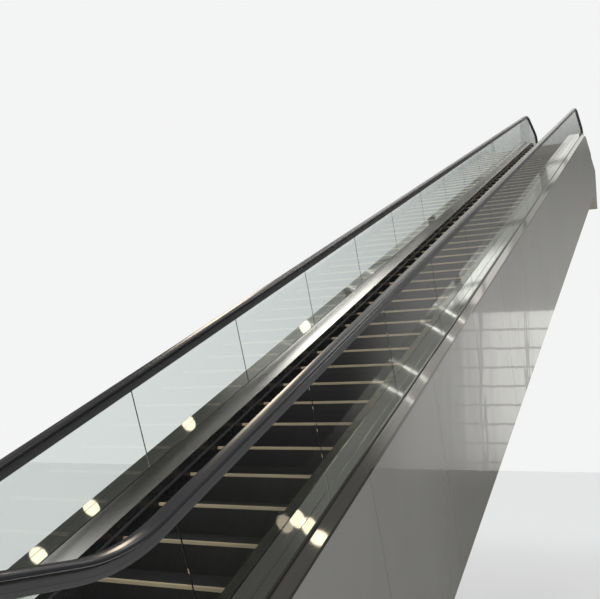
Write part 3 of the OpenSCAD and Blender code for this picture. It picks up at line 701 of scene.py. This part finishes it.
def step_group(name, first, last, yellow_v, yellow_f):
    """The steps of one CAD node with their wheels; their edging is added to the lists given."""
    riser, edging, tread = cleat_lines()
    ridges = [-STEP_HALF + RIDGE / 2 + (2 * STEP_HALF - RIDGE) * i / CLEATS for i in range(CLEATS + 1)]
    edging_ridge = RIDGE + EDGING_WIDER
    foot, corner, _, back = edging[1]
    foot_x = PITCH - math.sqrt(PITCH ** 2 - RISER ** 2) + STEP_BODY
    core = riser[1] + [corner, (TREAD_END, -TREAD_GROOVE), (TREAD_END, -STEP_BODY), (foot_x, -RISER)]
    proud, raised = 0.0035, 0.0055
    bed = [corner, back, (back[0], back[1] + raised), (corner[0] - proud, corner[1] + raised),
           (foot[0] - proud, foot[1]), foot]
    dark_v, dark_f, wheel_v, wheel_f = [], [], [], []
    for i in range(first, last):
        x, z = step_place(i)
        add_core(dark_v, dark_f, core, x, z, STEP_HALF)
        add_ridges(dark_v, dark_f, riser, x, z, ridges, RIDGE)
        add_ridges(dark_v, dark_f, tread, x, z, ridges, RIDGE)
        add_ridges(yellow_v, yellow_f, edging, x, z, ridges, edging_ridge)
        add_core(yellow_v, yellow_f, bed, x, z, STEP_HALF - HAIR)
        add_wheels(wheel_v, wheel_f, x, z)
    keep(new_object(name + "_cleated", dark_v, dark_f, smooth=0), step_paint, "step", name)
    keep(new_object(name + "_wheels", wheel_v, wheel_f, smooth=30), wheel_rubber, "step")


edging_v, edging_f = [], []
for name, first, last in STEP_GROUPS:
    step_group(name, first, last, edging_v, edging_f)
keep(new_object("edging_cleated", edging_v, edging_f, smooth=0), edging_yellow, "edging", "step_edging")


# Brushes: a slim holder with bristles that point at the steps
def brushes(side, tag):
    holder = [(SKIRT_FACE, 0.034), (SKIRT_FACE, 0.050), (0.4975, 0.048), (0.4965, 0.036)]
    runs = base_lengths(*SKIRT_CUT, LOWER_COMB, UPPER_COMB)
    keep(sweep("brush_holder_" + tag, holder, runs, side), holder_metal, "brush", "skirt_brush_" + tag)
    tuft_pitch = 0.006
    root_y, root_half = 0.4972, 0.0022
    tip_y, tip_half = 0.486, 0.0010
    uneven_lean, uneven_reach = 0.0012, 0.0006
    verts, faces = [], []
    count = 0
    for stations in runs:
        for (x0, z0, h0, s0), (x1, z1, h1, s1) in zip(stations, stations[1:]):
            n = max(1, int((s1 - s0) / tuft_pitch))
            for i in range(n):
                t = (i + 0.5) / n
                x, z, h = x0 + (x1 - x0) * t, z0 + (z1 - z0) * t, h0 + (h1 - h0) * t
                count += 1
                lean = uneven_lean * math.sin(count * 2.399)
                reach = tip_y + uneven_reach * math.sin(count * 1.7)
                base = len(verts)
                for y, v, half, shift in ((root_y, 0.0455, root_half, 0), (root_y, 0.0385, root_half, 0),
                                          (reach, 0.0375, tip_half, lean), (reach, 0.0415, tip_half, lean)):
                    for way in (-1, 1):
                        dx = way * half + shift
                        verts.append((x - v * math.sin(h) + dx * math.cos(h), side * y,
                                      z + v * math.cos(h) + dx * math.sin(h)))
                for q in ((0, 1, 7, 6), (2, 4, 5, 3), (0, 6, 4, 2), (1, 3, 5, 7), (4, 6, 7, 5)):
                    faces.append(tuple(base + k for k in q)[::-side])
    keep(new_object("brush_bristles_" + tag, verts, faces, smooth=0), brush_plastic, "brush")


for side, tag in SIDES:
    brushes(side, tag)


# Ribbed faces of the floor plates, each in a plain frame
def floor_ribs(end, x0, x1, z):
    half, rim, pitch = 0.472, 0.012, 0.016
    groove_top, rim_top = z + 0.0004, z + 0.0014
    low_z = z + TRIM_LIFT
    ground_v, ground_f = [], []
    add_box(ground_v, ground_f, x0, x1, -half, half, low_z, groove_top)
    keep(new_object("floor_grooves_" + end, ground_v, ground_f, smooth=0), plate_groove, "floor_plate")
    verts, faces = [], []
    for start in (x0 - rim, x1):
        add_box(verts, faces, start, start + rim, -half - rim, half + rim, low_z, rim_top)
    for start in (-half - rim, half):
        add_box(verts, faces, x0, x1, start, start + rim, low_z, rim_top)
    rib = [(-0.0052, 0.0003), (-0.0040, 0.0015), (0.0040, 0.0015), (0.0052, 0.0003)]
    n = int(2 * half / pitch)
    for i in range(n):
        y = -half + (i + 0.5) * 2 * half / n
        base = len(verts)
        for xx in (x0, x1):
            for off, lift in rib:
                verts.append((xx, y + off, z + lift))
        for j in range(3):
            faces.append((base + j, base + 4 + j, base + 5 + j, base + 1 + j))
        faces.append((base, base + 1, base + 2, base + 3))
        faces.append((base + 7, base + 6, base + 5, base + 4))
    keep(new_object("floor_ribs_" + end, verts, faces, smooth=0), plate_aluminium, "floor_plate")


RIBS_FROM_EDGE, RIBS_FROM_COMB = 0.03, 0.26
floor_ribs("lower", TRUSS_LOW + RIBS_FROM_EDGE, LOWER_COMB - RIBS_FROM_COMB, LOWER_Z)
floor_ribs("upper", UPPER_COMB + RIBS_FROM_COMB, TRUSS_UP - RIBS_FROM_EDGE, UPPER_Z)


# Screws of the combs and the joints between their segments
def comb_fittings(end, edge, inward, z):
    """Two rows of screws, by their distance from the comb's edge, and the joints of its segments."""
    rings = [(0.0062, TRIM_LIFT), (0.0058, 0.0007), (0.0030, 0.0008), (0.0027, 0.0003)]
    rows = ((0.062, 20), (0.165, 10))
    row_half = 0.475
    verts, faces = [], []
    for distance, count in rows:
        for k in range(count):
            cx, cy = edge + inward * distance, -row_half + 2 * row_half * (k + 0.5) / count
            add_turned(verts, faces, rings,
                       lambda r, h, a: (cx + r * math.cos(a), cy + r * math.sin(a), z + h), n=16)
    keep(new_object("comb_screws_" + end, verts, faces, smooth=30), screw_metal, "comb")
    segments, joint_half, joint_top = 5, 0.0006, 0.0003
    joint_start, joint_end = 0.034, 0.218
    x0, x1 = sorted((edge + inward * joint_start, edge + inward * joint_end))
    verts, faces = [], []
    for k in range(1, segments):
        y = -STEP_HALF + 2 * STEP_HALF / segments * k
        add_box(verts, faces, x0, x1, y - joint_half, y + joint_half, z + TRIM_LIFT, z + joint_top)
    keep(new_object("comb_joints_" + end, verts, faces, smooth=0), plate_groove, "comb")


comb_fittings("lower", LOWER_COMB, -1, LOWER_Z)
comb_fittings("upper", UPPER_COMB, 1, UPPER_Z)


# Rubber collars round the belt inlets of the newel caps
def collar_path():
    """The line round one inlet, across and up from the middle of the belt and the nosings."""
    half, turn, clearance, collar_half = 0.0505, 0.010, 0.0060, 0.0045
    belt_reach = NEWEL_R + 0.0129
    belt_foot = GUIDE_LIFT - NEWEL_R - math.sqrt(belt_reach ** 2 - BASE_BEYOND ** 2)
    low_edge = belt_foot - clearance - collar_half
    inner_top, outer_top = 0.136, 0.152
    path = [(-half, inner_top), (-half, low_edge + turn)]
    turns = [math.radians(90 * i / 6) for i in range(1, 7)]
    for a in turns:
        path.append((-half + turn - turn * math.cos(a), low_edge + turn - turn * math.sin(a)))
    path.append((half - turn, low_edge))
    for a in turns:
        path.append((half - turn + turn * math.sin(a), low_edge + turn - turn * math.cos(a)))
    path.append((half, outer_top))
    return path


def collars(end, face, outward, z):
    path = collar_path()
    section = [(-0.0040, 0.0), (-0.0036, 0.0030), (-0.0018, 0.0050), (0.0018, 0.0050), (0.0036, 0.0030),
               (0.0040, 0.0)]
    m = len(section)
    verts, faces = [], []
    for side, _ in SIDES:
        base = len(verts)
        way = side * outward
        for i, (py, pz) in enumerate(path):
            a, b = Vector(path[max(i - 1, 0)]), Vector(path[min(i + 1, len(path) - 1)])
            t = (b - a).normalized()
            for off, proud in section:
                yy, zz = py - off * t.y, pz + off * t.x
                verts.append((face + outward * (2 * TRIM_LIFT + proud), side * (HANDRAIL_Y + yy), z + zz))
        for i in range(len(path) - 1):
            for j in range(m):
                a, b = base + i * m + j, base + i * m + (j + 1) % m
                faces.append((a, b, b + m, a + m)[::way])
        first = tuple(range(base, base + m))
        last = tuple(range(len(verts) - m, len(verts)))
        faces += [first[::-way], last[::way]]
    keep(new_object("inlet_collars_" + end, verts, faces, smooth=40), collar_rubber, "newel_cap")


collars("lower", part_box("newel_caps_lower")[0].x, -1, LOWER_Z)
collars("upper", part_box("newel_caps_upper")[1].x, 1, UPPER_Z)


# Trim rings round the lights of the underside, one in every second panel
def light_rings():
    rings = [(0.0945, -0.004), (0.0945, 0.0012), (0.097, 0.0030), (0.108, 0.0026), (0.112, 0.0)]
    up_slope = Vector((math.cos(ANGLE), 0, math.sin(ANGLE)))
    down = Vector((math.sin(ANGLE), 0, -math.cos(ANGLE)))
    verts, faces = [], []
    for panel in range(1, 12, 2):
        s = PANEL / 2 + (panel + 0.5) * PANEL
        centre = Vector((LOWER_CORNER + s * math.cos(ANGLE) + SOFFIT_DEPTH * math.sin(ANGLE), 0,
                         LOWER_Z + s * math.sin(ANGLE) - SOFFIT_DEPTH * math.cos(ANGLE)))
        add_turned(verts, faces, rings,
                   lambda r, h, a: tuple(centre + up_slope * (r * math.cos(a))
                                         + Vector((0, r * math.sin(a), 0)) + down * h),
                   n=48, capped=False)
    keep(new_object("light_rings", verts, faces, smooth=40), ring_metal, "light")


light_rings()


# The floor and what each kind of ray sees
def mix_shaders(nt, share, usual, special):
    mix = nt.nodes.new("ShaderNodeMixShader")
    nt.links.new(share, mix.inputs["Fac"])
    nt.links.new(usual, mix.inputs[1])
    nt.links.new(special, mix.inputs[2])
    return mix.outputs[0]


def mirrored_rays(nt):
    """1 for rays that a glossy surface mirrors, also where they pass through glass afterwards."""
    path = nt.nodes.new("ShaderNodeLightPath")
    through = path.outputs["Is Transmission Ray"]
    bounced = calc(nt, "GREATER_THAN", path.outputs["Glossy Depth"], 0.5)
    direct = product(nt, path.outputs["Is Glossy Ray"], calc(nt, "SUBTRACT", 1.0, through))
    return calc(nt, "MAXIMUM", direct, product(nt, through, bounced))


def seen_rays(nt):
    """1 for rays that come straight from the camera or through glass only."""
    path = nt.nodes.new("ShaderNodeLightPath")
    bounces = calc(nt, "ADD", path.outputs["Glossy Depth"], path.outputs["Diffuse Depth"])
    through = product(nt, path.outputs["Is Transmission Ray"], calc(nt, "LESS_THAN", bounces, 0.5))
    return calc(nt, "MAXIMUM", path.outputs["Is Camera Ray"], through)


def stage_floor():
    """A wide pale floor just below the part, which looks dark in reflections."""
    z = low.z - 0.002
    reach = 300.0
    corners = [(-reach, -reach, z), (reach, -reach, z), (reach, reach, z), (-reach, reach, z)]
    obj = new_object("stage_floor", corners, [(0, 1, 2, 3)], smooth=0)
    mat, nt, bsdf = material("stage_pale")
    bsdf.inputs["Base Color"].default_value = (0.80, 0.80, 0.79, 1)
    bsdf.inputs["Roughness"].default_value = 0.9
    dark = nt.nodes.new("ShaderNodeBsdfDiffuse")
    dark.inputs["Color"].default_value = (0.07, 0.068, 0.062, 1)
    surface = mix_shaders(nt, mirrored_rays(nt), bsdf.outputs[0], dark.outputs[0])
    nt.links.new(surface, nt.nodes["Material Output"].inputs["Surface"])
    obj.data.materials.append(mat)


# Fields of the mirrored room, by direction. Four angles in degrees, first across and then in height, say
# where a field starts, is whole, starts to fade and ends. A glow also has the light that it adds.
GLOWS = (
    ((27, 33, 38, 46), (44, 48, 89, 90), 0.14),
    ((4, 12, 22, 27), (46, 50, 56, 66), 0.45),
    ((-36, -27, -20, -14), (38, 42, 47, 51), 0.36),
    ((-22, -16, -3, 2), (-8, 1, 6, 26), 0.30),
    ((-9, -5, 3, 7), (50.8, 52.4, 58.8, 60.4), 5.4),
    ((-9, -5, 3, 7), (62.5, 64.5, 70, 73), 0.20),
    ((27, 33, 35, 45), (34, 37, 43, 46), 0.42),
    ((5, 6, 8.5, 10), (29, 31, 33.6, 34.4), 0.7),
)
WARM_GLOW, WARM_STRENGTH = ((34, 37, 40.5, 43), (27, 31, 37, 39.5)), 7.0
HIGH_PANES = ((-26, -20, 20, 34), (20, 27, 41.6, 42.2))
LOW_PANES = ((-15, -10.5, -3, -1.5), (-3, 4, 10.1, 10.4))
DULL_PANES = ((7, 9, 16, 18), (34.2, 35.0, 38.4, 39.2))
TOP_ROW_SIDE, TOP_ROW_LEVEL = (10, 14), (38.8, 39.7)
PANE_LIGHT, LOW_PANE_LIGHT, BAR_LIGHT = 1.05, 0.54, 0.2
TINT, WARM_TINT = (1.0, 0.995, 0.95), (1.0, 0.86, 0.64)

# Lines of light above the panes, in degrees: their heights, half their width, their slant and their reach
LINE_HEIGHTS = (57.7, 59.9, 64.9, 67.6)
LINE_HALF, LINE_SLANT, LINE_REACH = 0.10, 0.8, (-40, -32, 26, 38)
LINE_LIGHT = 2.0

# Greys of the walls, from straight below at 0 to straight above at 1, and the lighter wall behind the camera
WALL_GREYS = [(0.30, 0.035), (0.52, 0.05), (0.60, 0.11), (0.68, 0.125), (0.78, 0.12), (1.0, 0.15)]
BEHIND_START, BEHIND_WHOLE, BEHIND_LIGHT = 75, 120, 0.32


def fade(nt, value, zero_at, one_at):
    """Goes smoothly from 0 at one angle to 1 at the other, whichever is greater."""
    node = nt.nodes.new("ShaderNodeMapRange")
    node.interpolation_type = "SMOOTHSTEP"
    falls = zero_at > one_at
    start, end = sorted((zero_at, one_at))
    node.inputs["From Min"].default_value = math.radians(start)
    node.inputs["From Max"].default_value = math.radians(end)
    node.inputs["To Min"].default_value = 1.0 if falls else 0.0
    node.inputs["To Max"].default_value = 0.0 if falls else 1.0
    nt.links.new(value, node.inputs["Value"])
    return node.outputs["Result"]


def between(nt, value, angles):
    """1 between the middle two of four angles, and 0 beyond the outer two."""
    start, whole, fading, end = angles
    return product(nt, fade(nt, value, start, whole), fade(nt, value, end, fading))


def field(nt, across, height, sides, levels):
    """1 inside a soft-edged field of directions and 0 outside it."""
    return product(nt, between(nt, across, sides), between(nt, height, levels))


def panes(nt, across, height, wide, tall, bar):
    """Bright panes of the given size in degrees, with dim bars that take a part of it."""
    bright = []
    for value, size in ((across, wide), (height, tall)):
        part = calc(nt, "FRACT", calc(nt, "MULTIPLY", value, 1.0 / math.radians(size)))
        bright.append(calc(nt, "GREATER_THAN", part, bar))
    return calc(nt, "MULTIPLY_ADD", product(nt, *bright), 1 - BAR_LIGHT, BAR_LIGHT)


def high_panes(nt, across, height):
    """Panes that the decks mirror: a bright top row, some dull ones, and lines of light above them."""
    usual, brighter, duller = 0.72, 0.9, -0.55
    top_row = product(nt, fade(nt, height, *TOP_ROW_LEVEL), fade(nt, across, *TOP_ROW_SIDE))
    aside = calc(nt, "ABSOLUTE", across)
    dull = field(nt, aside, height, *DULL_PANES)
    light = product(nt, field(nt, across, height, *HIGH_PANES),
                    panes(nt, across, height, wide=9.0, tall=3.4, bar=0.07),
                    calc(nt, "MULTIPLY_ADD", top_row, brighter, usual),
                    calc(nt, "MULTIPLY_ADD", dull, duller, 1.0))
    slanted = calc(nt, "MULTIPLY_ADD", aside, LINE_SLANT, height)
    reach = between(nt, across, LINE_REACH)
    for level in LINE_HEIGHTS:
        line = calc(nt, "COMPARE", slanted, math.radians(level), math.radians(LINE_HALF))
        light = calc(nt, "MAXIMUM", light, product(nt, line, reach, LINE_LIGHT))
    return light


def low_panes(nt, across, height):
    """Panes that the cladding mirrors."""
    return product(nt, field(nt, across, height, *LOW_PANES),
                   panes(nt, across, height, wide=3.1, tall=1.28, bar=0.12), LOW_PANE_LIGHT)


def mirrored_room(nt):
    """What glossy surfaces see: a dim room with bright panes, lines of light and lighter fields."""
    place = nt.nodes.new("ShaderNodeTexCoord")
    parts = nt.nodes.new("ShaderNodeSeparateXYZ")
    nt.links.new(place.outputs["Generated"], parts.inputs["Vector"])
    height = calc(nt, "ARCSINE", parts.outputs["Z"])
    across = calc(nt, "ARCTAN2", parts.outputs["Y"], parts.outputs["X"])
    room = ramp(nt, calc(nt, "MULTIPLY_ADD", height, 1 / math.pi, 0.5), WALL_GREYS)
    for sides, levels, strength in GLOWS:
        room = calc(nt, "MULTIPLY_ADD", field(nt, across, height, sides, levels), strength, room)
    behind = calc(nt, "MAXIMUM", fade(nt, across, BEHIND_START, BEHIND_WHOLE),
                  fade(nt, across, -BEHIND_START, -BEHIND_WHOLE))
    room = calc(nt, "MULTIPLY_ADD", behind, BEHIND_LIGHT, room)
    bright = calc(nt, "MAXIMUM", high_panes(nt, across, height), low_panes(nt, across, height))
    total = calc(nt, "MULTIPLY_ADD", bright, PANE_LIGHT, room)
    warm = product(nt, field(nt, across, height, *WARM_GLOW), WARM_STRENGTH)
    tint = nt.nodes.new("ShaderNodeCombineColor")
    for socket, share, warm_share in zip(tint.inputs, TINT, WARM_TINT):
        nt.links.new(calc(nt, "MULTIPLY_ADD", warm, warm_share, product(nt, total, share)), socket)
    return tint.outputs[0]


def studio_world():
    """A pale backdrop for the camera, soft light for surfaces, and the mirrored room for reflections."""
    world = bpy.data.worlds.new("studio")
    bpy.context.scene.world = world
    world.use_nodes = True
    nt = world.node_tree
    ambient = nt.nodes["Background"]
    ambient.inputs["Color"].default_value = (0.96, 0.98, 1.0, 1)
    ambient.inputs["Strength"].default_value = 0.62
    mirror = nt.nodes.new("ShaderNodeBackground")
    nt.links.new(mirrored_room(nt), mirror.inputs["Color"])
    seen = nt.nodes.new("ShaderNodeBackground")
    seen.inputs["Color"].default_value = (0.90, 0.905, 0.905, 1)
    surface = mix_shaders(nt, mirrored_rays(nt), ambient.outputs[0], mirror.outputs[0])
    surface = mix_shaders(nt, seen_rays(nt), surface, seen.outputs[0])
    nt.links.new(surface, nt.nodes["World Output"].inputs["Surface"])


# Lamps: two soft suns, and seven ovals that show as warm glints on the decks
def add_lamp(name, kind, direction, power, place=(0, 0, 0), **values):
    data = bpy.data.lights.new(name, kind)
    data.energy = power
    for key, value in values.items():
        setattr(data, key, value)
    obj = bpy.data.objects.new(name, data)
    obj.location = place
    obj.rotation_mode = "QUATERNION"
    obj.rotation_quaternion = Vector(direction).to_track_quat("-Z", "Y")
    bpy.context.scene.collection.objects.link(obj)


OVAL_PLACES = ((7.8, 2.25, 6.5), (9.3, 4.5, 6.3), (7.4, 5.1, 5.8), (12.2, 3.58, 7.17),
               (7.73, 2.07, 6.58), (7.73, -3.68, 6.53), (6.48, 5.33, 5.54))
OVAL_AIM = Vector((4.8, 0.0, 1.2))
OVAL_POWER = 0.38
OVAL_LOOK = {"shape": "ELLIPSE", "size": 0.20, "size_y": 0.27, "color": (1.0, 0.86, 0.66)}


# The camera, fitted to the photo: its turn in radians, its place from the nosing of a step, its focal length
YAW, TILT, ROLL = 0.434577, 0.196011, 0.0144673
FITTED_STEP = 7
FROM_NOSING = (-3.79362, -2.57195, 0.64421)
FOCAL_PIXELS, FRAME_PIXELS = 813.483, 600
SENSOR_MM = 36.0


def add_camera():
    scene = bpy.context.scene
    data = bpy.data.cameras.new("camera")
    data.sensor_width = SENSOR_MM
    data.lens = SENSOR_MM * FOCAL_PIXELS / FRAME_PIXELS
    data.clip_start, data.clip_end = 0.05, 400.0
    obj = bpy.data.objects.new("camera", data)
    scene.collection.objects.link(obj)
    forward = Vector((math.cos(YAW) * math.cos(TILT), math.sin(YAW) * math.cos(TILT), math.sin(TILT)))
    level = Vector((math.sin(YAW), -math.cos(YAW), 0.0))
    upright = level.cross(forward)
    right = level * math.cos(ROLL) + upright * math.sin(ROLL)
    up = -level * math.sin(ROLL) + upright * math.cos(ROLL)
    x, z = step_place(FITTED_STEP)
    place = Vector((x + FROM_NOSING[0], FROM_NOSING[1], z + FROM_NOSING[2]))
    obj.matrix_world = Matrix(((right.x, up.x, -forward.x, place.x), (right.y, up.y, -forward.y, place.y),
                               (right.z, up.z, -forward.z, place.z), (0, 0, 0, 1)))
    scene.camera = obj


stage_floor()
studio_world()
add_lamp("key", "SUN", (0.22, 0.10, -1.0), power=1.1, angle=math.radians(50))
add_lamp("fill", "SUN", (0.35, 0.80, -0.55), power=0.45, angle=math.radians(60))
for i, place in enumerate(OVAL_PLACES):
    add_lamp("downlight_%d" % i, "AREA", OVAL_AIM - Vector(place), OVAL_POWER, place, **OVAL_LOOK)
add_camera()
bpy.context.scene.view_settings.view_transform = "Standard"
